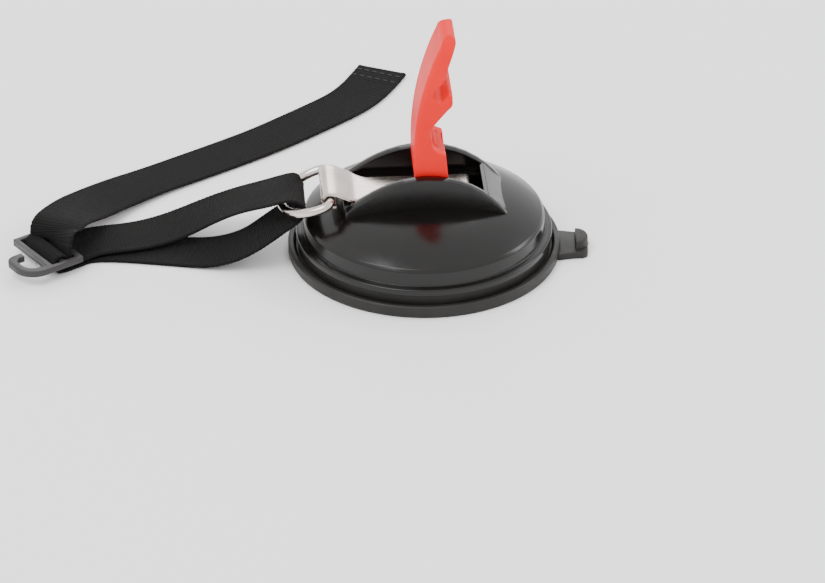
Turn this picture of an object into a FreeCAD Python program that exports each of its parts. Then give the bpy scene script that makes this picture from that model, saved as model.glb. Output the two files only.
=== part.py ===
import FreeCAD, Part
import math
import os
import Sketcher

# Suction-cup tie-down anchor with an over-centre lever, a D-ring and a webbing strap.
# Millimetres, +Z up. The origin is the centre of the suction face, which is the plane Z = 0.
# +X runs along the channel of the cap, from the D-ring (-X) to the pull tab (+X).
# The model is at rest with the lever up, which is the released state.

SIZES = {
    # Rubber pad
    "pad_radius": 60.0,
    "pad_edge": 0.8,
    "rim_top": 5.5,
    "rim_inner": 57.4,
    "rim_floor": 3.6,
    "seat_outer": 55.4,
    "seat_inner": 49.0,
    "seat_top": 8.9,
    "web_top": 3.6,
    "boss_radius": 22.0,
    "boss_top": 9.2,
    "lip_inner": 49.5,
    "lip_outer": 51.5,
    "lip_depth": 0.6,
    "tab_turn": 4.0,
    "tab_root": 57.0,
    "tab_root_half": 11.4,
    "tab_end": 72.4,
    "tab_end_half": 9.4,
    "tab_corner": 4.5,
    "tab_top": 3.0,
    "knob_flat": 66.8,
    "knob_radius": 6.6,
    "knob_top": 6.8,
    # Steel insert, stud, washer and spring
    "plate_radius": 18.0,
    "plate_low": 4.5,
    "plate_high": 6.1,
    "insert_gap": 0.3,
    "tenon_radius": 3.0,
    "stud_foot_radius": 7.0,
    "stud_foot_high": 7.6,
    "shank_radius": 4.5,
    "shank_top": 29.6,
    "tongue_wide": 8.2,
    "tongue_thick": 5.8,
    "tongue_round": 3.2,
    "pin_height": 40.1,
    "tongue_above_pin": 5.2,
    "washer_radius": 15.5,
    "washer_bore": 7.4,
    "washer_thick": 1.0,
    "spring_mean": 12.6,
    "spring_wire": 0.8,
    "spring_low": 11.1,
    "spring_rise": 9.8,
    "spring_pitch": 2.45,
    # Cap
    "flange_radius": 56.5,
    "flange_top": 11.7,
    "neck_radius": 54.2,
    "skirt_radius": 53.4,
    "skirt_low": 12.3,
    "dome_radius": 52.9,
    "dome_low": 18.3,
    "dome_edge_radius": 51.9,
    "dome_edge": 19.4,
    "dome_knee_radius": 32.0,
    "dome_knee": 27.9,
    "dome_top": 30.4,
    "outer_bend": 60.0,
    "inner_bend": 210.0,
    "cap_wall": 2.5,
    "cap_bore": 6.5,
    "cap_boss": 9.0,
    "cap_boss_low": 19.0,
    "bush_top": 28.4,
    "floor_low": 26.5,
    "floor_top": 31.0,
    "floor_left": 36.0,
    "channel_half": 13.0,
    "fin_thick": 4.4,
    "fin_foot": 22.0,
    "fin_left": 35.6,
    "fin_nose": 27.5,
    "fin_apex": 44.3,
    "fin_right": 35.6,
    "fin_right_top": 25.6,
    "fin_left_bend": 49.0307971,
    "fin_right_bend": 43.236631,
    "end_wall_left": 25.2,
    "end_wall_top": 34.6,
    "end_wall_crest": 27.0,
    "slot_left": 18.8,
    "slot_half": 9.0,
    "stud_hole": 5.3,
    # Guide bush
    "bush_bore": 4.56,
    "bush_radius": 6.45,
    "bush_flange": 8.6,
    "bush_flange_thick": 1.2,
    # Ring bracket, a bent strip
    "strip": 1.5,
    "bar_x": 41.8,
    "bar_z": 33.0,
    "curl_inner": 2.35,
    "curl_tail": 2.6,
    "strip_half": 13.2,
    "waist_half": 8.5,
    "waist_start": 33.0,
    "waist_full": 25.0,
    "bend_x": 35.4,
    "bend_z": 34.68,
    "bend_under_x": 36.31,
    "bend_under_z": 33.49,
    "bend_end": 29.0,
    "bend_radius": 10.5,
    "strip_end": 20.5,
    "strip_lip": 25.5,
    # D-ring
    "wire": 2.0,
    "bar_half": 13.5,
    "ring_corner": 4.0,
    "ring_arm": 0.5,
    "ring_radius": 17.5,
    "ring_droop": 20.0,
    # Lever, drawn closed with the pin at its own origin
    "lever_half": 12.5,
    "lever_turn": 95.5,
    "lever_inside": 8.0,
    "fork_half": 3.4,
    "fork_end": 7.2,
    "pin_radius": 2.0,
    "pin_hole": 2.03,
    "tongue_hole": 2.06,
    "pin_half": 12.3,
    "foot_close": 9.9,
    "foot_open": 7.4,
    "cam_radius": 8.9,
    "back_radius": 130.0,
    "back_top": 4.6,
    "lever_edge": 2.4,
    "tip_round": 9.1,
    "rib_thick": 1.3,
    # Webbing and its buckle
    "web_width": 25.0,
    "web_thick": 1.4,
    "buckle_half": 15.5,
    "buckle_low": 4.6,
    "buckle_thick": 3.0,
    "buckle_slot": 13.1,
    "buckle_turn": 213.0,
    "thread": 0.6,
    "thread_long": 2.4,
}

document = FreeCAD.newDocument("SuctionAnchor")
sheet = document.addObject("Spreadsheet::Sheet", "Sizes")
for row, (alias, value) in enumerate(SIZES.items(), start=1):
    sheet.set(f"A{row}", alias)
    sheet.set(f"B{row}", str(value))
    sheet.setAlias(f"B{row}", alias)
document.recompute()


# ---------------------------------------------------------------- helpers

def amount(text):
    """Value of words and numbers joined by + and -, such as 'pad_radius - 2'."""
    total = 0.0
    sign = 1.0
    for word in str(text).split():
        if word in "+-":
            sign = 1.0 if word == "+" else -1.0
            continue
        number = SIZES[word] if word in SIZES else float(word)
        total += sign * number
        sign = 1.0
    return total


def formula(text):
    """The same text as an expression on the sheet."""
    words = [f"Sizes.{word}" if word in SIZES else word for word in str(text).split()]
    return " ".join(words)


def bind(item, **settings):
    for name, text in settings.items():
        item.setExpression(name, formula(text))


def place(item, at=(0, 0, 0), axis=(0, 0, 1), turn=0):
    spot = FreeCAD.Vector(*[amount(text) for text in at])
    item.Placement = FreeCAD.Placement(spot, FreeCAD.Rotation(FreeCAD.Vector(*axis), amount(turn)))
    for letter, text in zip("xyz", at):
        item.setExpression(f"Placement.Base.{letter}", formula(text))


def new_body(label):
    body = document.addObject("PartDesign::Body", label)
    body.Label = label
    document.recompute()
    return body


def new_sketch(body, name, role, lift="0", turn="0"):
    """A sketch on one of the body's own origin planes, lifted along the plane's normal."""
    sketch = body.newObject("Sketcher::SketchObject", name)
    plane = [item for item in body.Origin.OriginFeatures if item.Role == role][0]
    sketch.AttachmentSupport = [(plane, "")]
    sketch.MapMode = "FlatFace"
    rotation = FreeCAD.Rotation(FreeCAD.Vector(0, 0, 1), amount(turn))
    sketch.AttachmentOffset = FreeCAD.Placement(FreeCAD.Vector(0, 0, amount(lift)), rotation)
    return sketch


def arc_through(start, end, radius):
    """The shorter arc of that radius; a positive radius bulges to the right of the way."""
    middle = (start + end) * 0.5
    chord = end - start
    half = chord.Length / 2
    rise = abs(radius) - math.sqrt(max(radius * radius - half * half, 0.0))
    side = FreeCAD.Vector(chord.y, -chord.x, 0).normalize()
    return Part.Arc(start, middle + side * math.copysign(rise, radius), end)


def outline(sketch, corners):
    """A closed outline, each corner tied to the sheet. A third value makes the next edge an arc."""
    spots = [FreeCAD.Vector(amount(corner[0]), amount(corner[1]), 0) for corner in corners]
    count = len(corners)
    edges = []
    for index, corner in enumerate(corners):
        start = spots[index]
        end = spots[(index + 1) % count]
        if len(corner) > 2:
            edge = sketch.addGeometry(arc_through(start, end, amount(corner[2])))
        else:
            edge = sketch.addGeometry(Part.LineSegment(start, end))
        first = 1 if (sketch.getPoint(edge, 1) - start).Length < 1e-6 else 2
        edges.append((edge, first, 3 - first))
    for index, corner in enumerate(corners):
        edge, first, last = edges[index]
        after, after_first, unused = edges[(index + 1) % count]
        sketch.addConstraint(Sketcher.Constraint("Coincident", edge, last, after, after_first))
        tie_point(sketch, edge, first, corner)
        if len(corner) > 2:
            mark = sketch.addConstraint(Sketcher.Constraint("Radius", edge, abs(amount(corner[2]))))
            sketch.setExpression(f"Constraints[{mark}]", formula(corner[2].replace("- ", "", 1)))


def tie_point(sketch, edge, point, corner):
    for kind, axis, text in (("DistanceX", -2, corner[0]), ("DistanceY", -1, corner[1])):
        value = amount(text)
        if abs(value) < 1e-9:
            sketch.addConstraint(Sketcher.Constraint("PointOnObject", edge, point, axis))
            continue
        mark = sketch.addConstraint(Sketcher.Constraint(kind, -1, 1, edge, point, value))
        sketch.setExpression(f"Constraints[{mark}]", formula(text))


def circle(sketch, radius, x="0", y="0"):
    centre = FreeCAD.Vector(amount(x), amount(y), 0)
    ring = sketch.addGeometry(Part.Circle(centre, FreeCAD.Vector(0, 0, 1), amount(radius)))
    mark = sketch.addConstraint(Sketcher.Constraint("Radius", ring, amount(radius)))
    sketch.setExpression(f"Constraints[{mark}]", formula(radius))
    tie_point(sketch, ring, 3, (x, y))


def feature(body, kind, name, sketch, cuts=False, **settings):
    """A PartDesign feature on a sketch; a cut has to take material away."""
    document.recompute()
    before = body.Shape.Volume if cuts else 0.0
    item = body.newObject(f"PartDesign::{kind}", name)
    item.Profile = sketch
    for setting, value in settings.items():
        setattr(item, setting, value)
    body.Tip = item
    document.recompute()
    if cuts and not body.Shape.Volume < before - 0.01:
        raise RuntimeError(f"{body.Label}: {name} cuts nothing")
    return item


def revolve(body, name, sketch, cuts=False):
    axis = (sketch, ["V_Axis"])
    kind = "Groove" if cuts else "Revolution"
    return feature(body, kind, name, sketch, cuts, ReferenceAxis=axis, Angle=360.0)


def pad(body, name, sketch, length, both=False, back=False):
    side = "Symmetric" if both else "One side"
    item = feature(body, "Pad", name, sketch, SideType=side, Length=amount(length), Reversed=back)
    bind(item, Length=length)
    document.recompute()
    return item


def pocket_through(body, name, sketch):
    """A pocket right through the body, both ways from its sketch."""
    return feature(body, "Pocket", name, sketch, True, SideType="Symmetric", Length=400.0)


def rectangle(left, low, right, high):
    return [(left, low), (right, low), (right, high), (left, high)]


def round_edges(body, name, radius, wanted):
    """Fillets on the edges that the test picks."""
    base = body.Tip
    names = [f"Edge{index}" for index, edge in enumerate(base.Shape.Edges, start=1) if wanted(edge)]
    item = body.newObject("PartDesign::Fillet", name)
    item.Base = (base, names)
    bind(item, Radius=radius)
    body.Tip = item
    document.recompute()
    if "Invalid" in item.State:
        raise RuntimeError(f"{body.Label}: {name} failed")
    return item


# ---------------------------------------------------------------- rubber pad and pull tab

def make_pad():
    body = new_body("suction_pad")
    section = new_sketch(body, "PadSection", "XZ_Plane")
    outline(section, [
        ("0", "0"), ("lip_inner", "0"), ("lip_inner", "lip_depth"), ("lip_outer", "lip_depth"),
        ("lip_outer", "0"), ("pad_radius - pad_edge", "0"), ("pad_radius", "pad_edge"),
        ("pad_radius", "rim_top - pad_edge"), ("pad_radius - pad_edge", "rim_top"),
        ("rim_inner", "rim_top"), ("rim_inner - pad_edge", "rim_floor"),
        ("seat_outer", "rim_floor"), ("seat_outer", "seat_top"), ("seat_inner", "seat_top"),
        ("seat_inner", "web_top"), ("boss_radius + 2", "web_top"), ("boss_radius", "boss_top"),
        ("0", "boss_top")])
    revolve(body, "PadDisc", section)
    tab = new_sketch(body, "TabOutline", "XY_Plane", turn="- tab_turn")
    outline(tab, [
        ("tab_root", "- tab_root_half"),
        ("tab_end - tab_corner", "- tab_end_half", "tab_corner"),
        ("tab_end", "tab_corner - tab_end_half"),
        ("tab_end", "tab_end_half - tab_corner", "tab_corner"),
        ("tab_end - tab_corner", "tab_end_half"),
        ("tab_root", "tab_root_half")])
    pad(body, "Tab", tab, "tab_top")
    knob = new_sketch(body, "KnobOutline", "XY_Plane", turn="- tab_turn")
    outline(knob, [
        ("knob_flat", "- knob_radius"),
        ("knob_flat + 1", "- knob_radius", "knob_radius"),
        ("tab_end", "0", "knob_radius"),
        ("knob_flat + 1", "knob_radius"),
        ("knob_flat", "knob_radius")])
    pad(body, "Knob", knob, "knob_top")
    socket = new_sketch(body, "InsertSocket", "XZ_Plane")
    outline(socket, rectangle("0", "plate_low - insert_gap", "plate_radius + insert_gap",
                              "stud_foot_high + insert_gap"))
    revolve(body, "Socket", socket, cuts=True)
    mouth = new_sketch(body, "StudMouth", "XZ_Plane")
    outline(mouth, rectangle("0", "stud_foot_high", "shank_radius + insert_gap", "boss_top + 1"))
    revolve(body, "Mouth", mouth, cuts=True)
    return body


def make_plate():
    disc = document.addObject("Part::Cylinder", "PlateDisc")
    bind(disc, Radius="plate_radius", Height="plate_high - plate_low")
    place(disc, ("0", "0", "plate_low"))
    hole = document.addObject("Part::Cylinder", "PlateHole")
    bind(hole, Radius="tenon_radius", Height="plate_high")
    plate = document.addObject("Part::Cut", "pad_insert_plate")
    plate.Base = disc
    plate.Tool = hole
    return plate


def make_stud():
    body = new_body("pull_stud")
    section = new_sketch(body, "StudSection", "XZ_Plane")
    outline(section, [
        ("0", "plate_low"), ("tenon_radius", "plate_low"), ("tenon_radius", "plate_high"),
        ("stud_foot_radius", "plate_high"), ("stud_foot_radius", "stud_foot_high"),
        ("shank_radius", "stud_foot_high"), ("shank_radius", "shank_top"), ("0", "shank_top")])
    revolve(body, "Shank", section)
    side = new_sketch(body, "TongueSide", "XZ_Plane")
    half = amount("tongue_wide") / 2
    edge = str(half)
    flat = str(half - amount("tongue_round"))
    outline(side, [
        (f"- {edge}", "shank_top - 1"), (edge, "shank_top - 1"),
        (edge, "pin_height + tongue_above_pin - tongue_round", "tongue_round"),
        (flat, "pin_height + tongue_above_pin"),
        (f"- {flat}", "pin_height + tongue_above_pin", "tongue_round"),
        (f"- {edge}", "pin_height + tongue_above_pin - tongue_round")])
    pad(body, "Tongue", side, "tongue_thick", both=True)
    eye = new_sketch(body, "PinEye", "XZ_Plane")
    circle(eye, "tongue_hole", "0", "pin_height")
    pocket_through(body, "Eye", eye)
    return body


def make_washer():
    disc = document.addObject("Part::Cylinder", "WasherDisc")
    bind(disc, Radius="washer_radius", Height="washer_thick")
    hole = document.addObject("Part::Cylinder", "WasherHole")
    bind(hole, Radius="washer_bore", Height="washer_thick + 2")
    place(hole, ("0", "0", "- 1"))
    washer = document.addObject("Part::Cut", "spring_washer")
    washer.Base = disc
    washer.Tool = hole
    place(washer, ("0", "0", "boss_top"))
    return washer


def make_spring():
    path = document.addObject("Part::Helix", "SpringPath")
    bind(path, Radius="spring_mean", Height="spring_rise", Pitch="spring_pitch")
    place(path, ("0", "0", "spring_low"))
    section = document.addObject("Part::Circle", "SpringWire")
    bind(section, Radius="spring_wire")
    place(section, ("spring_mean", "0", "spring_low"), (1, 0, 0), "90")
    spring = document.addObject("Part::Sweep", "return_spring")
    spring.Sections = [section]
    spring.Spine = (path, ["Edge1"])
    spring.Solid = True
    spring.Frenet = True
    return spring


# ---------------------------------------------------------------- cap and guide bush

def add_fin(body, name, lift):
    """One arched wall of the channel, with a rounded crest."""
    side = new_sketch(body, f"{name}Side", "XZ_Plane", lift=lift)
    outline(side, [
        ("- fin_left", "fin_foot"), ("fin_right", "fin_foot"),
        ("fin_right", "fin_right_top", "fin_right_bend"), ("0", "fin_apex", "fin_left_bend"),
        ("- fin_left + 1.5", "fin_nose + 3", "2.4"), ("- fin_left", "fin_nose")])
    pad(body, name, side, "fin_thick")


def make_cap():
    body = new_body("dome_cap")
    section = new_sketch(body, "CapSection", "XZ_Plane")
    outline(section, [
        ("0", "seat_top"), ("flange_radius", "seat_top"), ("flange_radius", "flange_top"),
        ("neck_radius", "flange_top"), ("neck_radius", "skirt_low"), ("skirt_radius", "skirt_low"),
        ("dome_radius", "dome_low", "1.3"), ("dome_edge_radius", "dome_edge", "outer_bend"),
        ("dome_knee_radius", "dome_knee", "inner_bend"), ("0", "dome_top")])
    revolve(body, "Dome", section)
    hollow = new_sketch(body, "HollowSection", "XZ_Plane")
    outline(hollow, [
        ("0", "seat_top - 1"), ("dome_radius - cap_wall", "seat_top - 1"),
        ("dome_radius - cap_wall", "dome_low - cap_wall"),
        ("dome_knee_radius - 1", "dome_knee - cap_wall"), ("0", "dome_top - cap_wall")])
    revolve(body, "Hollow", hollow, cuts=True)
    floor = new_sketch(body, "FloorOutline", "XY_Plane", lift="floor_low")
    outline(floor, rectangle("- floor_left", "- channel_half - 1", "end_wall_left + 1",
                             "channel_half + 1"))
    pad(body, "Floor", floor, "floor_top - floor_low")
    boss = new_sketch(body, "BossOutline", "XY_Plane", lift="cap_boss_low")
    circle(boss, "cap_boss")
    pad(body, "Boss", boss, "floor_top - cap_boss_low")
    add_fin(body, "NearFin", "channel_half")
    add_fin(body, "FarFin", "- channel_half - fin_thick")
    wall = new_sketch(body, "EndWallSide", "XZ_Plane")
    outline(wall, [
        ("end_wall_left", "floor_low"), ("fin_right", "floor_low - 2"), ("fin_right", "fin_right_top"),
        ("end_wall_crest", "end_wall_top"), ("end_wall_left", "end_wall_top")])
    pad(body, "EndWall", wall, "channel_half + channel_half + 1", both=True)
    bore = new_sketch(body, "BoreSection", "XZ_Plane")
    outline(bore, [
        ("0", "cap_boss_low - 1"), ("cap_bore", "cap_boss_low - 1"), ("cap_bore", "bush_top"),
        ("stud_hole", "bush_top"), ("stud_hole", "floor_top + 1"), ("0", "floor_top + 1")])
    revolve(body, "Bore", bore, cuts=True)
    slot = new_sketch(body, "SlotOutline", "XY_Plane")
    outline(slot, rectangle("slot_left", "- slot_half", "end_wall_left", "slot_half"))
    pocket_through(body, "Slot", slot)
    return body


def make_bush():
    body = new_body("stud_guide_bush")
    section = new_sketch(body, "BushSection", "XZ_Plane")
    outline(section, [
        ("bush_bore", "cap_boss_low - bush_flange_thick"),
        ("bush_flange", "cap_boss_low - bush_flange_thick"), ("bush_flange", "cap_boss_low"),
        ("bush_radius", "cap_boss_low"), ("bush_radius", "bush_top"), ("bush_bore", "bush_top")])
    revolve(body, "Bush", section)
    return body


# ---------------------------------------------------------------- ring bracket and D-ring

def make_bracket():
    """A strip hooked into the slot at one end and curled round the ring's bar at the other."""
    body = new_body("ring_bracket")
    side = new_sketch(body, "StripSide", "XZ_Plane")
    curl = "curl_inner + strip"
    outline(side, [
        ("- bar_x", f"bar_z + {curl}", curl),
        ("- bar_x - curl_inner - strip", "bar_z", curl),
        ("- bar_x", "bar_z - curl_inner - strip"),
        ("- bar_x + curl_tail", "bar_z - curl_inner - strip"),
        ("- bar_x + curl_tail", "bar_z - curl_inner"),
        ("- bar_x", "bar_z - curl_inner", "- curl_inner"),
        ("- bar_x - curl_inner", "bar_z", "- curl_inner"),
        ("- bar_x", "bar_z + curl_inner", "- bend_radius + strip"),
        ("- bend_under_x", "bend_under_z", "bend_radius + strip"),
        ("- bend_end", "floor_top"),
        ("strip_end - strip", "floor_top"),
        ("strip_end - strip", "strip_lip"), ("strip_end", "strip_lip"),
        ("strip_end", "floor_top + strip"),
        ("- bend_end", "floor_top + strip", "- bend_radius"),
        ("- bend_x", "bend_z", "bend_radius")])
    pad(body, "Strip", side, "strip_half + strip_half", both=True)
    waist = new_sketch(body, "WaistCuts", "XY_Plane")
    for sign in ("", "- "):
        outline(waist, [
            ("- waist_start", f"{sign}strip_half"), ("- waist_full", f"{sign}waist_half"),
            ("strip_end + 1", f"{sign}waist_half"), ("strip_end + 1", f"{sign}20"),
            ("- waist_start", f"{sign}20")])
    pocket_through(body, "Waist", waist)
    hole = new_sketch(body, "StudHole", "XY_Plane")
    circle(hole, "stud_hole")
    pocket_through(body, "Hole", hole)
    return body


def make_ring():
    """Straight bar, two corners, two short arms and a half-round bow, all of one wire."""
    pieces = []
    bar = document.addObject("Part::Cylinder", "RingBar")
    bind(bar, Radius="wire", Height="bar_half + bar_half")
    place(bar, ("0", "bar_half", "0"), (1, 0, 0), "90")
    pieces.append(bar)
    for sign, name in ((1, "Far"), (-1, "Near")):
        corner = document.addObject("Part::Torus", f"{name}Corner")
        bind(corner, Radius1="ring_corner", Radius2="wire", Angle3="90")
        start = "0" if sign > 0 else "- 90"
        place(corner, ("- ring_corner", "bar_half" if sign > 0 else "- bar_half", "0"), turn=start)
        pieces.append(corner)
        arm = document.addObject("Part::Cylinder", f"{name}Arm")
        bind(arm, Radius="wire", Height="ring_arm")
        side = "ring_radius" if sign > 0 else "- ring_radius"
        place(arm, ("- ring_corner", side, "0"), (0, 1, 0), "- 90")
        pieces.append(arm)
    bow = document.addObject("Part::Torus", "RingBow")
    bind(bow, Radius1="ring_radius", Radius2="wire", Angle3="180")
    place(bow, ("- ring_corner - ring_arm", "0", "0"), turn="90")
    pieces.append(bow)
    ring = document.addObject("Part::MultiFuse", "d_ring")
    ring.Shapes = pieces
    place(ring, ("- bar_x", "0", "bar_z"), (0, 1, 0), "- ring_droop")
    return ring


# ---------------------------------------------------------------- lever and pin

def make_lever():
    """Drawn closed, lying along +X, then turned up to its released rest position."""
    body = new_body("lever")
    side = new_sketch(body, "LeverSide", "XZ_Plane")
    outline(side, [
        ("- 5.4", "back_top", "- 4"),
        ("- foot_open", "1.2"), ("- foot_open", "- 1", "cam_radius"),
        ("cam_radius - foot_open", "- foot_close"), ("11.8", "- foot_close", "1.1"),
        ("12.9", "- 8.9"), ("14.2", "- 6.7", "- 6"), ("18.8", "- 4.4"), ("25.1", "- 4.3"),
        ("27.3", "- 5.9"), ("34.4", "- 13.0", "4"), ("38.6", "- 15.2"), ("41.0", "- 15.4"),
        ("41.0", "- 13.8"), ("38.4", "- 11.0", "- 3.1"), ("42.8", "- 7.4"), ("48.2", "- 12.2"),
        ("65.2", "- 19.2", "2.6"), ("68", "- 16.6", "5.5"), ("64.6", "- 12.57", "back_radius")])
    pad(body, "Profile", side, "lever_half + lever_half", both=True)
    round_edges(body, "BackEdges", "lever_edge", edge_on_back)
    corners = new_sketch(body, "TipCorners", "XY_Plane")
    outline(corners, [
        ("60", "lever_half", "- tip_round"), ("69", "3.5"), ("74", "3.5"), ("74", "16"),
        ("60", "16")])
    outline(corners, [
        ("60", "- 16"), ("74", "- 16"), ("74", "- 3.5"), ("69", "- 3.5", "- tip_round"),
        ("60", "- lever_half")])
    pocket_through(body, "TipRound", corners)
    hollow = new_sketch(body, "HollowSide", "XZ_Plane")
    outline(hollow, [
        ("10", "- 30"), ("32.5", "- 30"), ("32.5", "- 2.9", "back_radius"), ("10", "1")])
    feature(body, "Pocket", "Hollow", hollow, True, SideType="Symmetric",
            Length=amount("lever_inside + lever_inside"))
    ribs = new_sketch(body, "CrossRibs", "XZ_Plane")
    for left, low in (("12.2", "- 8.9"), ("15.6", "- 6.4"), ("19.2", "- 4.6")):
        outline(ribs, rectangle(left, low, f"{left} + rib_thick", "1.5"))
    pad(body, "Ribs", ribs, "lever_inside + lever_inside + 1", both=True)
    fork = new_sketch(body, "ForkSlot", "XY_Plane")
    outline(fork, rectangle("- 12", "- fork_half", "fork_end", "fork_half"))
    pocket_through(body, "Fork", fork)
    eye = new_sketch(body, "PinHole", "XZ_Plane")
    circle(eye, "pin_hole")
    pocket_through(body, "PinHoleCut", eye)
    place(body, ("0", "0", "pin_height"), (0, 1, 0), "- lever_turn")
    return body


def edge_on_back(edge):
    """The two long edges of the lever's back."""
    box = edge.BoundBox
    return box.XLength > 55 and box.YLength < 0.01


def make_pin():
    pin = document.addObject("Part::Cylinder", "lever_pin")
    bind(pin, Radius="pin_radius", Height="pin_half + pin_half")
    place(pin, ("0", "pin_half", "pin_height"), (1, 0, 0), "90")
    return pin


# ---------------------------------------------------------------- buckle

BUCKLE_AT = (-158.3, 3.5)


def make_buckle():
    """Flat moulded hook: three cross bars for the webbing and an open G-shaped hook."""
    body = new_body("hook_buckle")
    shape = new_sketch(body, "BuckleOutline", "XY_Plane")
    outline(shape, [
        ("0", "- buckle_half"), ("17", "- buckle_half"), ("17", "11.6"), ("20", "11.6", "- 5.6"),
        ("25.4", "6"), ("25.4", "2"), ("23.4", "0"), ("20.4", "0"), ("20.4", "- 3.4"),
        ("24.6", "- 3.4", "4.6"), ("29", "1"), ("29", "6", "9.8"), ("19.6", "buckle_half"),
        ("0", "buckle_half")])
    for left, right in ((2.8, 8.0), (10.6, 14.8)):
        outline(shape, rectangle(str(left), "- buckle_slot", str(right), "buckle_slot"))
    pad(body, "Buckle", shape, "buckle_thick")
    place(body, (str(BUCKLE_AT[0]), str(BUCKLE_AT[1]), "buckle_low"), turn="buckle_turn")
    return body


# ---------------------------------------------------------------- webbing

def by_buckle(along, height):
    """A point of the strap's middle line, measured along the buckle from its end bar."""
    angle = math.radians(amount("buckle_turn"))
    return (BUCKLE_AT[0] + along * math.cos(angle), BUCKLE_AT[1] + along * math.sin(angle), height,
            math.degrees(angle) - 90, 0)


# Middle line of the webbing: x, y, z, then the heading of its width and the tilt of its width.
ROUTE = [
    (-8.0, 166.5, 1.2, 152, 0), (-21, 142.5, 1.2, 148, 0), (-35.5, 127, 1.3, 138, 0),
    (-49, 115.5, 1.3, 131, 0), (-65, 102.5, 1.3, 128, 0), (-82, 90.5, 1.3, 126, 0),
    (-100, 78.5, 1.4, 124, 0), (-118, 66, 2.0, 126, 0), (-131, 55, 3.4, 132, 3),
    (-142, 43, 5.6, 142, 6), (-150, 30.5, 9.0, 152, 8), (-155.5, 19.0, 12.6, 158, 5),
]


def make_webbing():
    """One length of webbing: tail, buckle, upper run, ring, lower run and the fixed end."""
    stations = list(ROUTE)
    stations += [
        (-159.6, 9.6, 14.8, 152, 0), (-162.0, 4.2, 13.6, 143, 0), (-162.3, 1.6, 10.8, 132, 0),
        by_buckle(4.3, 7.9), by_buckle(4.3, 5.3), by_buckle(2.7, 3.4), by_buckle(-1.5, 3.0),
        (-147, 10.2, 3.0, 108, 0), (-134, 13.0, 3.0, 103, 0), (-121, 15.6, 3.4, 103, 0),
        (-108, 18.2, 6.0, 101, 0), (-95, 18.6, 11.5, 93, 0), (-83, 15.4, 18.0, 84, 0),
        (-72, 9.6, 24.5, 80, 0), (-63.5, 3.8, 29.8, 84, 0), (-57.0, 0.8, 31.6, 90, 0),
        (-53.0, 0.0, 28.2, 90, 0), (-55.6, -0.6, 23.2, 91, 0), (-62, -2.2, 19.2, 93, 0),
        (-71, -4.0, 13.5, 94, 0), (-81, -3.6, 7.2, 91, 0), (-93, -1.0, 2.6, 93, 0),
        (-106, 2.4, 1.0, 96, 0), (-120, 5.6, 0.8, 98, 0), (-134, 8.2, 0.8, 96, 0),
        (-146, 8.8, 0.8, 100, 0), by_buckle(-6, 0.8), by_buckle(0.5, 0.8), by_buckle(6.5, 0.8),
        by_buckle(10.6, 1.6), by_buckle(12.5, 4.7), by_buckle(12.2, 7.4), by_buckle(10.4, 8.8),
        by_buckle(8.2, 8.8), by_buckle(6.8, 7.4), by_buckle(6.6, 4.9)]
    half = amount("web_width") / 2
    marks = [float(index) for index in range(len(stations))]
    centre = Part.BSplineCurve()
    centre.interpolate(Points=[FreeCAD.Vector(*station[:3]) for station in stations], Parameters=marks)
    turns = Part.BSplineCurve()
    turns.interpolate(Points=[FreeCAD.Vector(mark, station[3], station[4])
                              for mark, station in zip(marks, stations)], Parameters=marks)
    steps = 3
    sections = []
    for index in range((len(stations) - 1) * steps + 1):
        mark = index / steps
        spot = centre.value(mark)
        along = centre.tangent(mark)[0]
        heading = math.radians(turns.value(mark).y)
        tilt = math.radians(turns.value(mark).z)
        across = FreeCAD.Vector(math.cos(heading) * math.cos(tilt), math.sin(heading) * math.cos(tilt),
                                math.sin(tilt))
        across = (across - along * across.dot(along)).normalize() * half
        rise = along.cross(across).normalize() * (amount("web_thick") / 2)
        corners = [spot - across - rise, spot + across - rise, spot + across + rise,
                   spot - across + rise]
        sections.append(Part.makePolygon(corners + corners[:1]))
    webbing = document.addObject("Part::Feature", "webbing_strap")
    webbing.Shape = Part.makeLoft(sections, True, True)
    return webbing


def make_stitching():
    """Two rows of thread across the hem at the strap's free end."""
    end_x, end_y, end_z, heading, unused = ROUTE[0]
    turn = math.radians(heading)
    stitches = []
    for back in (4.0, 10.0):
        for step in range(6):
            side = -11.0 + 4.0 * step
            x = end_x + side * math.cos(turn) - back * math.sin(turn) * 0.95
            y = end_y + side * math.sin(turn) + back * math.cos(turn)
            stitch = document.addObject("Part::Box", "Stitch")
            bind(stitch, Length="thread_long", Width="thread", Height="web_thick + thread")
            place(stitch, (f"{x:.3f}", f"{y:.3f}", "0.25"), turn=heading)
            stitches.append(stitch)
    stitching = document.addObject("Part::MultiFuse", "hem_stitching")
    stitching.Shapes = stitches
    return stitching


PARTS = [
    make_pad(), make_plate(), make_stud(), make_washer(), make_spring(), make_cap(), make_bush(),
    make_bracket(), make_ring(), make_lever(), make_pin(), make_buckle(), make_webbing(),
    make_stitching()]
document.recompute()

for item in document.Objects:
    if "Invalid" in item.State or "Error" in item.State:
        raise RuntimeError(f"{item.Label} failed: {item.State}")
os.makedirs("parts", exist_ok=True)
for item in PARTS:
    item.Label = item.Name
    if item.Shape.isNull() or not item.Shape.isValid():
        raise RuntimeError(f"{item.Label} has no valid shape")
    item.Shape.exportStep(f"parts/{item.Label}.step")
    box = item.Shape.BoundBox
    print(item.Label, len(item.Shape.Solids), round(item.Shape.Volume), [round(v, 1) for v in (
        box.XMin, box.YMin, box.ZMin, box.XMax, box.YMax, box.ZMax)])
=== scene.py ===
import math

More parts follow.
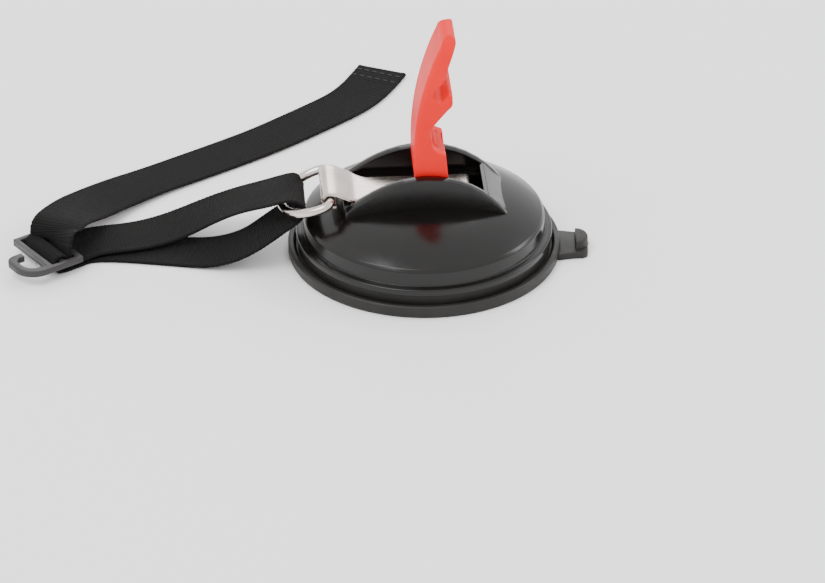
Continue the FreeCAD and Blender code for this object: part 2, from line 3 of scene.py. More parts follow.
import bmesh
import bpy
import numpy as np
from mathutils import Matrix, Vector


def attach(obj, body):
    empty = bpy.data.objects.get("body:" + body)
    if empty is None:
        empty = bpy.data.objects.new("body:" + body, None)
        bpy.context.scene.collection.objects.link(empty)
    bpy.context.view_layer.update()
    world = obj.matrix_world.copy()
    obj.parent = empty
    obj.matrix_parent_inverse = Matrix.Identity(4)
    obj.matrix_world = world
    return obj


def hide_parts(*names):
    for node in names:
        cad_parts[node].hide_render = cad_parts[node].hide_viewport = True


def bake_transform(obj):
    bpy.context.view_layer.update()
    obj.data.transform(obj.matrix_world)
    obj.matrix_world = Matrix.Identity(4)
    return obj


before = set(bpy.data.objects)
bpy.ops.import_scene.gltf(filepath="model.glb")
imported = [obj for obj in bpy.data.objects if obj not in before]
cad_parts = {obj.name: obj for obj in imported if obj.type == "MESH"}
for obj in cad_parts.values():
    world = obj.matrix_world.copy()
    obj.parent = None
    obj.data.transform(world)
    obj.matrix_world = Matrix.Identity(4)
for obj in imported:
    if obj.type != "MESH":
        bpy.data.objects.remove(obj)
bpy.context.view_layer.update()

MM = 0.001


# ---------------------------------------------------------------- camera, floor and light

CAMERA_TURN = math.radians(-4.0)
CAMERA_PITCH = math.radians(31.1)
CAMERA_DISTANCE = 1.7257
CAMERA_LENS = 170.1818
CAMERA_SENSOR = 36.0
ORIGIN_RIGHT_OF_AXIS = 0.0050443
ORIGIN_ABOVE_AXIS = 0.0192482


def make_camera():
    """A long lens that looks down on the anchor from the front, a little to the strap's side."""
    back = Vector((math.sin(CAMERA_TURN) * math.cos(CAMERA_PITCH),
                   -math.cos(CAMERA_TURN) * math.cos(CAMERA_PITCH), math.sin(CAMERA_PITCH)))
    right = Vector((math.cos(CAMERA_TURN), math.sin(CAMERA_TURN), 0.0))
    up = back.cross(right)
    offset = right * ORIGIN_RIGHT_OF_AXIS + up * ORIGIN_ABOVE_AXIS
    data = bpy.data.cameras.new("camera")
    data.sensor_width = CAMERA_SENSOR
    data.lens = CAMERA_LENS
    data.clip_start = 0.05
    data.clip_end = 20.0
    camera = bpy.data.objects.new("camera", data)
    bpy.context.scene.collection.objects.link(camera)
    camera.location = back * CAMERA_DISTANCE - offset
    camera.rotation_euler = back.to_track_quat("Z", "Y").to_euler()
    bpy.context.scene.camera = camera


make_camera()


def make_material(name, colour, roughness, metallic=0.0):
    """A principled material, its node tree and its shader."""
    material = bpy.data.materials.new(name)
    material.use_nodes = True
    tree = material.node_tree
    shader = tree.nodes["Principled BSDF"]
    shader.inputs["Base Color"].default_value = (*colour, 1.0)
    shader.inputs["Roughness"].default_value = roughness
    shader.inputs["Metallic"].default_value = metallic
    return material, tree, shader


def coordinates(tree, kind="Object", scale=(1.0, 1.0, 1.0)):
    source = tree.nodes.new("ShaderNodeTexCoord")
    mapping = tree.nodes.new("ShaderNodeMapping")
    mapping.inputs["Scale"].default_value = scale
    tree.links.new(source.outputs[kind], mapping.inputs["Vector"])
    return mapping.outputs["Vector"]


def noise(tree, vector, scale, detail=3.0, rough=0.55):
    node = tree.nodes.new("ShaderNodeTexNoise")
    node.inputs["Scale"].default_value = scale
    node.inputs["Detail"].default_value = detail
    node.inputs["Roughness"].default_value = rough
    tree.links.new(vector, node.inputs["Vector"])
    return node.outputs["Fac"]


PATTERN_LOW, PATTERN_HIGH = 0.3, 0.7


def spread(tree, value, low, high, into):
    """Maps the useful part of a pattern onto low to high, and feeds a shader socket."""
    node = tree.nodes.new("ShaderNodeMapRange")
    node.inputs["From Min"].default_value = PATTERN_LOW
    node.inputs["From Max"].default_value = PATTERN_HIGH
    node.inputs["To Min"].default_value = low
    node.inputs["To Max"].default_value = high
    tree.links.new(value, node.inputs["Value"])
    tree.links.new(node.outputs["Result"], into)


def tint(tree, value, dark, light, into):
    """Mixes two colours by a pattern."""
    ramp = tree.nodes.new("ShaderNodeValToRGB")
    ramp.color_ramp.elements[0].position = PATTERN_LOW
    ramp.color_ramp.elements[0].color = (*dark, 1.0)
    ramp.color_ramp.elements[1].position = PATTERN_HIGH
    ramp.color_ramp.elements[1].color = (*light, 1.0)
    tree.links.new(value, ramp.inputs["Fac"])
    tree.links.new(ramp.outputs["Color"], into)


def bump(tree, shader, height, distance, strength, after=None):
    node = tree.nodes.new("ShaderNodeBump")
    node.inputs["Distance"].default_value = distance
    node.inputs["Strength"].default_value = strength
    tree.links.new(height, node.inputs["Height"])
    if after is not None:
        tree.links.new(after, node.inputs["Normal"])
    tree.links.new(node.outputs["Normal"], shader.inputs["Normal"])
    return node.outputs["Normal"]


def make_moulding(name, dark, light, roughness, grain, wear=0.04, shine=0.5):
    """Moulded plastic or rubber: slight colour drift, uneven gloss and a fine surface grain."""
    material, tree, shader = make_material(name, light, roughness)
    vector = coordinates(tree)
    broad = noise(tree, vector, 38.0, 4.0)
    fine = noise(tree, vector, 1900.0, 2.0)
    tint(tree, broad, dark, light, shader.inputs["Base Color"])
    smear = noise(tree, vector, 120.0, 5.0, 0.65)
    spread(tree, smear, roughness - wear, roughness + wear, shader.inputs["Roughness"])
    first = bump(tree, shader, smear, 0.00012, 0.12)
    bump(tree, shader, fine, 0.00005, grain, first)
    shader.inputs["Specular IOR Level"].default_value = shine
    return material


def make_steel(name, dark, light, roughness, stretch, depth):
    """Metal with fine drawn scratches along one direction and faint handling marks."""
    material, tree, shader = make_material(name, light, roughness, 1.0)
    brushed = noise(tree, coordinates(tree, "Object", stretch), 60.0, 5.0, 0.7)
    marks = noise(tree, coordinates(tree), 55.0, 4.0)
    tint(tree, marks, dark, light, shader.inputs["Base Color"])
    spread(tree, brushed, roughness - 0.08, roughness + 0.1, shader.inputs["Roughness"])
    bump(tree, shader, brushed, 0.00006, depth)
    return material


def wave(tree, vector, scale, direction):
    node = tree.nodes.new("ShaderNodeTexWave")
    node.bands_direction = direction
    node.inputs["Scale"].default_value = scale
    tree.links.new(vector, node.inputs["Vector"])
    return node.outputs["Fac"]


def combine(tree, operation, first, second):
    node = tree.nodes.new("ShaderNodeMath")
    node.operation = operation
    for index, value in enumerate((first, second)):
        if isinstance(value, float):
            node.inputs[index].default_value = value
        else:
            tree.links.new(value, node.inputs[index])
    return node.outputs["Value"]


def make_webbing_material():
    """Woven polypropylene: yarns across, broken into short floats along, with loose fibres."""
    material, tree, shader = make_material("webbing_weave", (0.02, 0.019, 0.019), 0.8)
    vector = coordinates(tree, "UV")
    across = wave(tree, vector, 0.36, "X")
    along = wave(tree, vector, 0.5, "Y")
    yarn = combine(tree, "MULTIPLY", across, along)
    fibre = noise(tree, coordinates(tree, "UV", (9.0, 1.6, 1.0)), 2.2, 3.0, 0.7)
    height = combine(tree, "ADD", yarn, combine(tree, "MULTIPLY", fibre, 0.35))
    tint(tree, combine(tree, "ADD", combine(tree, "MULTIPLY", yarn, 0.6), fibre),
         (0.0010, 0.0009, 0.0009), (0.0072, 0.0066, 0.0064), shader.inputs["Base Color"])
    bump(tree, shader, height, 0.00035, 0.9)
    shader.inputs["Specular IOR Level"].default_value = 0.1
    spread(tree, fibre, 0.68, 0.92, shader.inputs["Roughness"])
    shader.inputs["Sheen Weight"].default_value = 0.03
    shader.inputs["Sheen Roughness"].default_value = 0.5
    return material


RUBBER = make_moulding("rubber", (0.011, 0.0101, 0.0094), (0.017, 0.0157, 0.0147), 0.50, 0.35, 0.08, 0.3)
CAP = make_moulding("cap_abs", (0.0042, 0.0036, 0.0032), (0.0062, 0.0054, 0.0050), 0.20, 0.10, 0.05, 0.36)
RED = make_moulding("lever_red", (0.74, 0.008, 0.008), (0.82, 0.013, 0.012), 0.46, 0.12, 0.05, 0.12)
BUCKLE = make_moulding("buckle_acetal", (0.022, 0.020, 0.021), (0.034, 0.031, 0.033), 0.42, 0.3, 0.06, 0.35)
BUSH = make_moulding("bush_nylon", (0.55, 0.55, 0.50), (0.66, 0.65, 0.60), 0.5, 0.2, 0.05)
BRUSHED = make_steel("brushed_strip", (0.56, 0.49, 0.44), (0.70, 0.62, 0.57), 0.27,
                     (1.0, 22.0, 22.0), 0.35)
WIRE = make_steel("ring_wire", (0.56, 0.50, 0.46), (0.72, 0.66, 0.61), 0.18, (14.0, 1.0, 14.0), 0.2)
STEEL = make_steel("plain_steel", (0.48, 0.48, 0.48), (0.62, 0.61, 0.60), 0.30, (1.0, 1.0, 16.0), 0.3)
WEBBING = make_webbing_material()
THREAD = make_moulding("thread", (0.012, 0.011, 0.011), (0.024, 0.022, 0.022), 0.7, 0.6, 0.1)


def make_stage():
    """A wide pale floor, even light from all round and soft lamps above."""
    mesh = bpy.data.meshes.new("floor")
    mesh.from_pydata([(-6, -6, 0), (6, -6, 0), (6, 6, 0), (-6, 6, 0)], [], [(0, 1, 2, 3)])
    floor = bpy.data.objects.new("floor", mesh)
    bpy.context.scene.collection.objects.link(floor)
    material, tree, shader = make_material("floor_paper", (0.97, 0.97, 0.97), 0.75)
    spread(tree, noise(tree, coordinates(tree), 40.0), 0.7, 0.8, shader.inputs["Roughness"])
    mesh.materials.append(material)
    world = bpy.data.worlds.new("studio")
    bpy.context.scene.world = world
    world.use_nodes = True
    shade = world.node_tree.nodes["Background"]
    shade.inputs["Color"].default_value = (1.0, 1.0, 1.0, 1.0)
    shade.inputs["Strength"].default_value = 1.55
    for name, spot, size, power, target in (
            ("lamp_key", (-0.7, -0.5, 1.5), 0.9, 15.0, (0.0, 0.0, 0.0)),
            ("lamp_side", (1.5, 0.3, 0.9), 0.7, 9.0, (0.0, 0.0, 0.03)),
            ("lamp_back", (0.1, 1.5, 1.1), 0.9, 8.0, (0.0, 0.0, 0.03))):
        data = bpy.data.lights.new(name, "AREA")
        data.size = size
        data.energy = power
        lamp = bpy.data.objects.new(name, data)
        bpy.context.scene.collection.objects.link(lamp)
        lamp.location = spot
        way = Vector(spot) - Vector(target)
        lamp.rotation_euler = way.to_track_quat("Z", "Y").to_euler()


make_stage()


# ---------------------------------------------------------------- mesh helpers

def make_object(name, points, faces, material):
    """A smooth-shaded mesh object from points in millimetres."""
    mesh = bpy.data.meshes.new(name)
    mesh.from_pydata([tuple(float(c) * MM for c in p) for p in points], [], faces)
    mesh.materials.append(material)
    mesh.update()
    work = bmesh.new()
    work.from_mesh(mesh)
    bmesh.ops.recalc_face_normals(work, faces=work.faces)
    work.to_mesh(mesh)
    work.free()
    mesh.polygons.foreach_set("use_smooth", [True] * len(mesh.polygons))
    piece = bpy.data.objects.new(name, mesh)
    bpy.context.scene.collection.objects.link(piece)
    return piece


def rounded(corners, steps=5):
    """An outline whose corners (x, y, radius) are turned into small arcs."""
    result = []
    count = len(corners)
    for index, (x, y, radius) in enumerate(corners):
        here = Vector((x, y))
        before = Vector(corners[index - 1][:2]) - here
        after = Vector(corners[(index + 1) % count][:2]) - here
        if radius <= 0.0 or before.length < 1e-6 or after.length < 1e-6:
            result.append((x, y))
            continue
        between = before.angle(after)
        reach = radius / max(math.tan(between / 2), 1e-3)
        reach = min(reach, before.length * 0.48, after.length * 0.48)
        first = here + before.normalized() * reach
        last = here + after.normalized() * reach
        for step in range(steps + 1):
            t = step / steps
            spot = first * (1 - t) ** 2 + here * 2 * t * (1 - t) + last * t * t
            result.append((spot.x, spot.y))
    return result


def lathe(name, profile, material, segments):
    """Turns a closed (radius, height) outline round the Z axis."""
    points = []
    for radius, height in profile:
        for step in range(segments):
            angle = 2 * math.pi * step / segments
            points.append((radius * math.cos(angle), radius * math.sin(angle), height))
    rows = len(profile)
    faces = []
    for row in range(rows):
        below = row * segments
        above = (row + 1) % rows * segments
        for step in range(segments):
            after = (step + 1) % segments
            faces.append((below + step, below + after, above + after, above + step))
    return make_object(name, points, faces, material)


def sweep_sections(name, sections, material, closed=False):
    """A skin over rings of points that all have the same count."""
    count = len(sections[0])
    points = [p for section in sections for p in section]
    faces = []
    last = len(sections)
    for row in range(last if closed else last - 1):
        below = row * count
        above = (row + 1) % last * count
        for step in range(count):
            after = (step + 1) % count
            faces.append((below + step, below + after, above + after, above + step))
    if not closed:
        faces.append(tuple(range(count)))
        faces.append(tuple(range((last - 1) * count, last * count)))
    return make_object(name, points, faces, material)


def sharpen(piece, angle=35.0):
    """Smooth shading that keeps real corners sharp."""
    work = bmesh.new()
    work.from_mesh(piece.data)
    limit = math.radians(angle)
    for edge in work.edges:
        if len(edge.link_faces) == 2 and edge.calc_face_angle(0.0) > limit:
            edge.smooth = False
    work.to_mesh(piece.data)
    work.free()


def joined(name, pieces):
    """One object from several meshes."""
    for item in bpy.context.selected_objects:
        item.select_set(False)
    for item in pieces:
        item.select_set(True)
    bpy.context.view_layer.objects.active = pieces[0]
    bpy.ops.object.join()
    pieces[0].name = name
    pieces[0].data.name = name
    return pieces[0]


def cut(piece, tool):
    """Takes the tool's solid out of the piece."""
    modifier = piece.modifiers.new("cut", "BOOLEAN")
    modifier.operation = "DIFFERENCE"
    modifier.solver = "EXACT"
    modifier.object = tool
    bpy.context.view_layer.objects.active = piece
    bpy.ops.object.modifier_apply(modifier="cut")
    bpy.data.objects.remove(tool)


def block(name, low, high, material, soft=0.0):
    """A box with softened edges."""
    (a, b, c), (d, e, f) = low, high
    outline = rounded([(a, b, soft), (d, b, soft), (d, e, soft), (a, e, soft)], 4)
    inset = soft * 0.8
    middle = Vector(((a + d) / 2, (b + e) / 2))
    sections = []
    levels = [(c, inset), (c + inset * 0.3, inset * 0.3), (c + inset, 0.0)]
    levels += [(f - inset, 0.0), (f - inset * 0.3, inset * 0.3), (f, inset)]
    if soft <= 0.0:
        levels = [(c, 0.0), (f, 0.0)]
    wide = (d - a) / 2
    deep = (e - b) / 2
    for height, less in levels:
        sections.append([(middle.x + (x - middle.x) * (1 - less / wide),
                          middle.y + (y - middle.y) * (1 - less / deep), height)
                         for x, y in outline])
    return sweep_sections(name, sections, material)


# ---------------------------------------------------------------- rubber pad

def make_pad():
    profile = rounded([
        (0.02, 0.0, 0), (49.5, 0.0, 0.2), (49.5, 0.6, 0.2), (51.5, 0.6, 0.2), (51.5, 0.0, 0.2),
        (59.5, 0.0, 0.4), (60.0, 1.0, 0.5), (60.0, 4.9, 0.7), (59.2, 5.5, 0.6), (57.6, 5.5, 0.6),
        (56.9, 4.6, 0.5), (56.6, 3.5, 0.3), (55.5, 3.5, 0.2), (55.4, 8.9, 0.1), (50.0, 8.9, 0.2),
        (48.5, 3.6, 0.6), (24.0, 3.6, 0.8), (22.0, 9.2, 0.8), (0.02, 9.2, 0)], 5)
    disc = lathe("pad_disc", profile, RUBBER, 256)
    turn = math.radians(-4.0)
    outline = rounded([(57.5, -11.5, 2.0), (66.0, -9.7, 3.0), (72.3, -9.3, 4.4), (72.5, 9.3, 4.4),
                       (66.0, 9.7, 3.0), (57.5, 11.5, 2.0)], 7)
    tab = layered("pad_tab", outline, [(0.0, 0.5), (0.5, 0.0), (2.4, 0.0), (2.85, 0.25), (3.0, 0.7)],
                  turn, (66.0, 0.0))
    bow = [(66.8 + 5.7 * math.cos(math.radians(a)), 6.6 * math.sin(math.radians(a)), 0.0)
           for a in range(-90, 91, 6)]
    knob = layered("pad_knob", [(x, y) for x, y, z in bow],
                   [(2.5, -0.3), (3.2, 0.0), (6.1, 0.1), (6.6, 0.35), (6.8, 0.9)], turn, (69.0, 0.0))
    return joined("rubber_pad", [disc, tab, knob])


def layered(name, outline, levels, turn, middle):
    """An upright moulding: the outline at each height, drawn in by the second number."""
    sections = []
    wide = max(abs(x - middle[0]) for x, y in outline)
    deep = max(abs(y - middle[1]) for x, y in outline)
    for height, less in levels:
        row = []
        for x, y in outline:
            u = middle[0] + (x - middle[0]) * (1 - less / wide)
            v = middle[1] + (y - middle[1]) * (1 - less / deep)
            row.append((u * math.cos(turn) - v * math.sin(turn),
                        u * math.sin(turn) + v * math.cos(turn), height))
        sections.append(row)
    return sweep_sections(name, sections, RUBBER)


# ---------------------------------------------------------------- cap

def dome_height(radius):
    """Height of the dome's outside."""
    return 30.4 - 7.6e-5 * radius ** 3


FIN_CREST = [(-35.6, 22.0), (-35.6, 27.5), (-35.1, 29.4), (-33.6, 31.0), (-31.4, 32.6),
             (-28.0, 34.9), (-24.0, 37.4), (-20.0, 39.5), (-15.0, 41.6), (-10.0, 43.1),
             (-5.0, 44.0), (0.0, 44.3), (5.0, 44.0), (10.0, 43.1), (15.0, 41.6), (20.0, 39.4),
             (25.0, 36.3), (29.0, 33.1), (32.0, 30.2), (34.2, 27.6), (35.6, 25.6), (35.6, 20.0)]


FIN_INNER, FIN_OUTER = 13.0, 17.4
FIN_REACH = 34.5
FIN_ROUND = 1.5
FIN_ROOT = 22.0
FIN_FOOT = 21.0
FIN_DRAW = 0.55


def make_fin(name, inner, outer):
    """An arched wall with a rounded crest, from its crest down into the dome."""
    crest = np.array(FIN_CREST)
    length = np.concatenate([[0], np.cumsum(np.hypot(*np.diff(crest, axis=0).T))])
    along = np.linspace(0, length[-1], 121)
    xs = np.interp(along, length, crest[:, 0])
    zs = np.interp(along, length, crest[:, 1])
    foot_x = np.clip(xs, -FIN_REACH, FIN_REACH)
    middle = (inner + outer) / 2
    half = (outer - inner) / 2
    sections = []
    for x, z, low in zip(xs, zs, foot_x):
        row = []
        root = Vector((low * FIN_DRAW, FIN_ROOT))
        toward = (root - Vector((x, z))).normalized()
        for angle in range(0, 181, 15):
            a = math.radians(angle)
            drop = FIN_ROUND * (1 - math.sin(a) ** 0.7)
            share = math.cos(a)
            if abs(share) >= 0.7:
                share = math.copysign(0.93 + 0.07 * (abs(share) - 0.7) / 0.3, share)
            row.append((x + toward.x * drop, middle + half * share, z + toward.y * drop))
        waist = Vector((x, z)).lerp(root, 0.6)
        foot = low * 0.9 if abs(low) < 30 else low
        row += [(waist.x, middle - half, waist.y), (foot, middle - half, FIN_FOOT),
                (foot, middle + half, FIN_FOOT), (waist.x, middle + half, waist.y)]
        sections.append(row)
    return sweep_sections(name, sections, CAP)


def make_cap():
    outside = [(56.5, 8.9, 0.3), (56.5, 11.7, 0.9), (54.4, 12.1, 0.3), (53.5, 12.3, 0.4),
               (52.95, 18.3, 1.3), (51.9, 19.6, 1.2)]
    knee = [(radius, min(dome_height(radius), 19.6 + (51.9 - radius) * 0.62), 0.0)
            for radius in (49.6, 47.0, 44.0, 41.0, 38.0, 35.0, 32.0, 28.0, 24.0, 19.0, 14.0, 9.0, 4.0)]
    inside = [(0.02, 27.9, 0.0), (31.0, 25.4, 0.0), (44.0, 20.0, 2.0), (50.3, 15.8, 1.5),
              (50.3, 8.9, 0.3)]
    profile = rounded(outside + knee + [(0.02, 30.4, 0.0)] + inside, 6)
    dome = lathe("cap_dome", profile, CAP, 288)
    floor = block("cap_floor", (-36.0, -14.0, 26.5), (26.2, 14.0, 31.0), CAP, 0.5)
    slot = ((18.8, -9.0, 15.0), (25.2, 9.0, 45.0))
    cut(floor, block("slot_tool", *slot, CAP))
    cut(dome, block("slot_tool", *slot, CAP))
    wall_side = rounded([(25.2, 26.5, 0), (35.6, 24.0, 0), (35.6, 25.9, 0.8), (27.1, 34.6, 0.8),
                         (25.2, 34.6, 0.5)], 5)
    sections = [[(x, y, z) for x, z in wall_side] for y in (-13.6, -6.0, 0.0, 6.0, 13.6)]
    wall = sweep_sections("cap_wall", sections, CAP)
    near = make_fin("cap_fin_near", -FIN_OUTER, -FIN_INNER)
    far = make_fin("cap_fin_far", FIN_INNER, FIN_OUTER)
    boss = lathe("cap_boss", [(9.0, 19.0), (9.0, 28.0), (6.55, 28.0), (6.55, 19.0)], CAP, 96)
    cap = joined("cap", [dome, floor, wall, near, far, boss])
    sharpen(cap, 38.0)
    return cap


# ---------------------------------------------------------------- ring and bracket

def tube_along(name, path, radius, material, sides=28):
    """A round wire along a flat closed loop of points."""
    points = [Vector(p) for p in path]
    count = len(points)
    normal = (points[1] - points[0]).cross(points[count // 3] - points[0]).normalized()
    sections = []
    for index, spot in enumerate(points):
        ahead = points[(index + 1) % count] - points[index - 1]
        side = ahead.normalized().cross(normal).normalized()
        row = []
        for step in range(sides):
            a = 2 * math.pi * step / sides
            row.append(tuple(spot + side * (radius * math.cos(a)) + normal * (radius * math.sin(a))))
        sections.append(row)
    return sweep_sections(name, sections, material, True)


RING_AT = (-41.8, 33.0)
RING_DROOP = math.radians(20.0)
RING_BAR = 13.5
RING_CORNER = 4.0
RING_BOW = 17.5
RING_WIRE = 2.0


def make_ring():
    """The wire's middle line: straight bar, a small corner, the bow and the other corner."""
    flat = [(0.0, float(y)) for y in np.linspace(RING_BAR, -RING_BAR, 30)]
    for angle in range(8, 91, 8):
        a = math.radians(angle)
        flat.append((RING_CORNER * (math.cos(a) - 1), -RING_BAR - RING_CORNER * math.sin(a)))
    for angle in range(-90, -271, -4):
        a = math.radians(angle)
        flat.append((-4.5 + RING_BOW * math.cos(a), RING_BOW * math.sin(a)))
    for angle in range(90, 7, -8):
        a = math.radians(angle)
        flat.append((RING_CORNER * (math.cos(a) - 1), RING_BAR + RING_CORNER * math.sin(a)))
    path = [(RING_AT[0] + x * math.cos(RING_DROOP), y, RING_AT[1] + x * math.sin(RING_DROOP))
            for x, y in flat]
    return tube_along("d_ring_wire", path, RING_WIRE, WIRE)


STRIP_HALF_THICK = 0.75
STRIP_TOP = 31.75
STRIP_CURL_HALF, STRIP_WAIST_HALF = 13.2, 8.5


def strip_line():
    """Middle line of the bent strip, from the curl's free end to the lip in the slot."""
    mean = 2.35 + STRIP_HALF_THICK
    line = [(-39.2, RING_AT[1] - mean), (-40.5, RING_AT[1] - mean)]
    for angle in range(-90, -271, -9):
        a = math.radians(angle)
        line.append((RING_AT[0] + mean * math.cos(a), RING_AT[1] + mean * math.sin(a)))
    start = (RING_AT[0], RING_AT[1] + mean)
    end = (-29.0, STRIP_TOP)
    for step in range(1, 25):
        t = step / 24
        ease = t * t * (3 - 2 * t)
        line.append((start[0] + (end[0] - start[0]) * t, start[1] + (end[1] - start[1]) * ease))
    line += [(x, STRIP_TOP) for x in np.linspace(-27.5, 17.6, 46)]
    for angle in range(80, -1, -16):
        a = math.radians(angle)
        line.append((18.25 + 1.5 * math.cos(a), STRIP_TOP - 1.5 + 1.5 * math.sin(a)))
    line += [(19.75, 29.0), (19.75, 27.5), (19.75, 25.9)]
    return line


def make_bracket():
    """The strip, wide at its curl and narrow in the channel, with the stud's hole."""
    line = [Vector((x, z)) for x, z in strip_line()]
    sections = []
    for index, spot in enumerate(line):
        ahead = line[min(index + 1, len(line) - 1)] - line[max(index - 1, 0)]
        across = Vector((-ahead.y, ahead.x)).normalized()
        t = min(max((spot.x + 33.0) / 8.5, 0.0), 1.0)
        ease = t * t * (3 - 2 * t)
        half = STRIP_CURL_HALF + (STRIP_WAIST_HALF - STRIP_CURL_HALF) * ease
        row = []
        for side in (1, -1):
            steps = np.linspace(-1, 1, 31) if side > 0 else np.linspace(1, -1, 31)
            for s in steps:
                edge = STRIP_HALF_THICK if abs(s) < 0.985 else 0.5
                row.append((spot.x + across.x * edge * side, half * s,
                            spot.y + across.y * edge * side))
        sections.append(row)
    strip = sweep_sections("ring_strip", sections, BRUSHED)
    hole = [[(5.3 * math.cos(math.radians(a)), 5.3 * math.sin(math.radians(a)), z)
             for a in range(0, 360, 6)] for z in (28.0, 34.5)]
    cut(strip, sweep_sections("hole_tool", hole, BRUSHED))
    sharpen(strip, 35.0)
    return strip


# ---------------------------------------------------------------- webbing

BUCKLE_AT = (-158.3, 3.5)
BUCKLE_TURN = math.radians(213.0)
WEB_HALF = 12.5
WEB_THICK = 1.4


def by_buckle(along, height):
    """A point of the strap's middle line, measured along the buckle from its end bar."""
    return (BUCKLE_AT[0] + along * math.cos(BUCKLE_TURN), BUCKLE_AT[1] + along * math.sin(BUCKLE_TURN),
            height, 123.0, 0.0)


# Middle line of the webbing: x, y, z, then the heading of its width and the tilt of its width.
ROUTE = [
    (-8.0, 166.5, 1.2, 152, 0), (-21, 142.5, 1.2, 148, 0), (-35.5, 127, 1.3, 138, 0),
    (-49, 115.5, 1.3, 131, 0), (-65, 102.5, 1.3, 128, 0), (-82, 90.5, 1.3, 126, 0),
    (-100, 78.5, 1.4, 124, 0), (-118, 66, 2.0, 126, 0), (-131, 55, 3.4, 132, 3),
    (-142, 43, 5.6, 142, 6), (-150, 30.5, 9.0, 152, 8), (-155.5, 19.0, 12.6, 158, 5),
    (-159.6, 9.6, 14.8, 152, 0), (-162.0, 4.2, 13.6, 143, 0), (-162.3, 1.6, 10.8, 132, 0),
    by_buckle(4.3, 7.9), by_buckle(4.3, 5.3), by_buckle(2.7, 3.4), by_buckle(-1.5, 3.0),
    (-147, 10.2, 3.0, 108, 0), (-134, 13.0, 3.0, 103, 0), (-121, 15.6, 3.4, 103, 0),
    (-108, 18.2, 6.0, 101, 0), (-95, 18.6, 11.5, 93, 0), (-83, 15.4, 18.0, 84, 0),
    (-72, 9.6, 24.5, 80, 0), (-63.5, 3.8, 29.8, 84, 0), (-57.0, 0.8, 31.6, 90, 0),
    (-53.0, 0.0, 28.2, 90, 0), (-55.6, -0.6, 23.2, 91, 0), (-62, -2.2, 19.2, 93, 0),
    (-71, -4.0, 13.5, 94, 0), (-81, -3.6, 7.2, 91, 0), (-93, -1.0, 2.6, 93, 0),
    (-106, 2.4, 1.0, 96, 0), (-120, 5.6, 0.8, 98, 0), (-134, 8.2, 0.8, 96, 0),
    (-146, 8.8, 0.8, 100, 0), by_buckle(-6, 0.8), by_buckle(0.5, 0.8), by_buckle(6.5, 0.8),
    by_buckle(10.6, 1.6), by_buckle(12.5, 4.7), by_buckle(12.2, 7.4), by_buckle(10.4, 8.8),
    by_buckle(8.2, 8.8), by_buckle(6.8, 7.4), by_buckle(6.6, 4.9)]
RING_SIDE_FROM = 19
RING_SIDE_TO = 37
RIB_PITCH = 1.55
RIB_HEIGHT = 0.18
ROW_PITCH = 0.45
HEM_LENGTH = 14.0


def natural_spline(values):
    """A smooth curve through values at 0, 1, 2 and so on; returns a sampling function."""
    y = np.array(values, float)
    count = len(y)
    matrix = np.zeros((count, count))
    right = np.zeros((count, y.shape[1]))
    matrix[0, 0] = matrix[-1, -1] = 1.0
    for i in range(1, count - 1):
        matrix[i, i - 1:i + 2] = (1.0, 4.0, 1.0)
        right[i] = 6.0 * (y[i + 1] - 2 * y[i] + y[i - 1])
    second = np.linalg.solve(matrix, right)

    def sample(t):
        i = np.clip(np.floor(t).astype(int), 0, count - 2)
        f = (t - i)[:, None]
        a, b = y[i], y[i + 1]
        p, q = second[i], second[i + 1]
        return (a * (1 - f) + b * f + ((1 - f) ** 3 - (1 - f)) * p / 6 + (f ** 3 - f) * q / 6)

    return sample


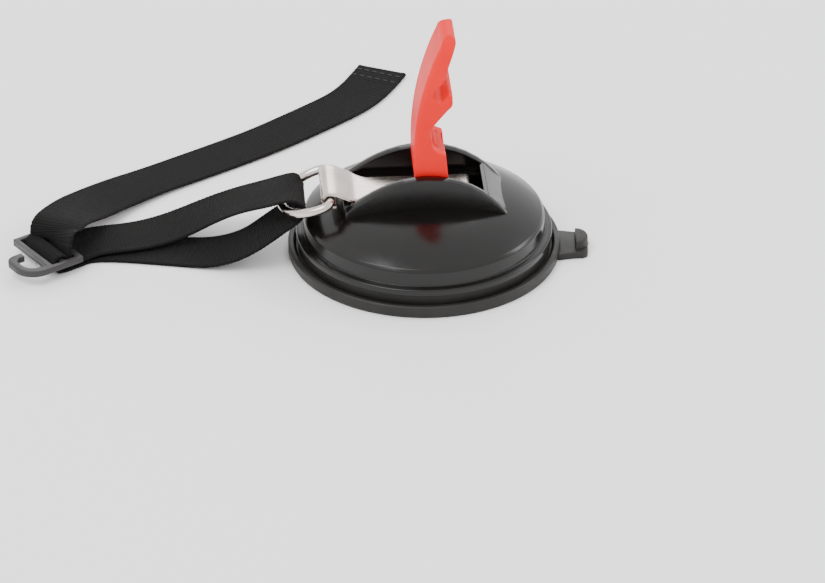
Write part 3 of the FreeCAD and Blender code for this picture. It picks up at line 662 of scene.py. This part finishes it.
def webbing_mesh(name, start, end, hem=False):
    """The stretch of webbing between two stations, with ribs across and rolled selvedges."""
    sample = natural_spline(ROUTE)
    dense = np.linspace(0, len(ROUTE) - 1, 12001)
    rows = sample(dense)
    lengths = np.concatenate([[0], np.cumsum(np.linalg.norm(np.diff(rows[:, :3], axis=0), axis=1))])
    first, last = np.interp([start, end], dense, lengths)
    count = int(round((last - first) / ROW_PITCH))
    marks = np.interp(np.linspace(first, last, count + 1), lengths, dense)
    arc = np.linspace(first, last, count + 1)
    state = sample(marks)
    ahead = sample(np.clip(marks + 0.01, 0, len(ROUTE) - 1))[:, :3]
    behind = sample(np.clip(marks - 0.01, 0, len(ROUTE) - 1))[:, :3]
    along = ahead - behind
    along /= np.linalg.norm(along, axis=1)[:, None]
    turn = np.radians(state[:, 3])
    tilt = np.radians(state[:, 4])
    across = np.stack([np.cos(turn) * np.cos(tilt), np.sin(turn) * np.cos(tilt), np.sin(tilt)], 1)
    across -= along * (across * along).sum(1)[:, None]
    across /= np.linalg.norm(across, axis=1)[:, None]
    rise = np.cross(along, across)
    side = np.concatenate([np.linspace(-1, -0.94, 4)[:-1], np.linspace(-0.94, 0.94, 35),
                           np.linspace(0.94, 1, 4)[1:]])
    ring = [(s, 1.0) for s in side] + [(s, -1.0) for s in side[::-1]]
    ripple = np.cos(2 * math.pi * arc / RIB_PITCH)
    thick = WEB_THICK / 2 - 0.2 + RIB_HEIGHT * (0.5 + 0.5 * ripple)
    if hem:
        far = arc - arc[0]
        thick = thick + 0.16 * np.clip((HEM_LENGTH - far) / 1.5, 0, 1)
    points = []
    for s, face in ring:
        shoulder = math.sqrt(max(0.0, 1 - max(0.0, (abs(s) - 0.93) / 0.07) ** 2))
        bed = 1.0 + 0.22 * math.exp(-((abs(s) - 0.9) / 0.04) ** 2)
        half = (thick * bed * shoulder)[:, None] * face
        wave_edge = 0.12 * ripple[:, None] * (abs(s) > 0.93)
        width = (WEB_HALF - 0.15) * s + np.sign(s) * wave_edge
        points.append(state[:, :3] + across * width + rise * half)
    grid = np.stack(points, 1)
    sides = len(ring)
    verts = grid.reshape(-1, 3)
    faces = []
    for row in range(count):
        low = row * sides
        high = low + sides
        for step in range(sides):
            after = (step + 1) % sides
            faces.append((low + step, low + after, high + after, high + step))
    faces.append(tuple(range(sides)))
    faces.append(tuple(range(count * sides, count * sides + sides)))
    piece = make_object(name, verts, faces, WEBBING)
    layer = piece.data.uv_layers.new(name="strap")
    index = np.zeros(len(piece.data.loops), int)
    piece.data.loops.foreach_get("vertex_index", index)
    u = arc[index // sides]
    v = np.array([s for s, face in ring])[index % sides] * WEB_HALF
    layer.data.foreach_set("uv", np.stack([u, v], 1).ravel())
    return piece, float(last - first) * MM


def make_strap():
    """One strap in two meshes, split where neither the ring nor the buckle moves it."""
    tail, tail_length = webbing_mesh("strap_tail", 0, RING_SIDE_FROM, True)
    fixed_end, end_length = webbing_mesh("strap_fixed_end", RING_SIDE_TO, len(ROUTE) - 1)
    buckle_side = joined("webbing_buckle_side", [tail, fixed_end])
    ring_side, ring_length = webbing_mesh("webbing_ring_side", RING_SIDE_FROM, RING_SIDE_TO)
    return ring_side, buckle_side


# ---------------------------------------------------------------- pieces that keep their CAD form

def soften(node, material, width):
    """A CAD piece shown as it is, with its hard edges rounded."""
    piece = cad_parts[node]
    piece.data.materials.clear()
    piece.data.materials.append(material)
    piece.data.polygons.foreach_set("use_smooth", [True] * len(piece.data.polygons))
    weld = piece.modifiers.new("weld", "WELD")
    weld.merge_threshold = 0.000005
    bevel = piece.modifiers.new("edges", "BEVEL")
    bevel.width = width * MM
    bevel.segments = 3
    bevel.limit_method = "ANGLE"
    bevel.angle_limit = math.radians(32.0)
    bevel.use_clamp_overlap = True
    bevel.harden_normals = True


def remould(node, material, voxel, rounds):
    """A CAD piece with every edge eased, as a moulding's edges are."""
    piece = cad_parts[node]
    piece.data.materials.clear()
    piece.data.materials.append(material)
    remesh = piece.modifiers.new("grain", "REMESH")
    remesh.mode = "VOXEL"
    remesh.voxel_size = voxel * MM
    remesh.use_smooth_shade = True
    smooth = piece.modifiers.new("ease", "SMOOTH")
    smooth.factor = 0.5
    smooth.iterations = rounds


pad = make_pad()
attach(pad, "base")
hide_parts("suction_pad")

cap = make_cap()
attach(cap, "base")
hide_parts("dome_cap")

ring = make_ring()
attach(ring, "ring")
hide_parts("d_ring")

strip = make_bracket()
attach(strip, "base")
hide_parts("ring_bracket")

ring_side, buckle_side = make_strap()
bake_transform(ring_side)
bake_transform(buckle_side)
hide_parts("webbing_strap")
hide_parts("webbing_strap")

remould("lever", RED, 0.3, 3)
soften("hook_buckle", BUCKLE, 0.5)
soften("pull_stud", STEEL, 0.35)
soften("lever_pin", STEEL, 0.3)
soften("pad_insert_plate", STEEL, 0.2)
soften("spring_washer", STEEL, 0.15)
soften("stud_guide_bush", BUSH, 0.2)
soften("return_spring", STEEL, 0.05)
soften("hem_stitching", THREAD, 0.12)
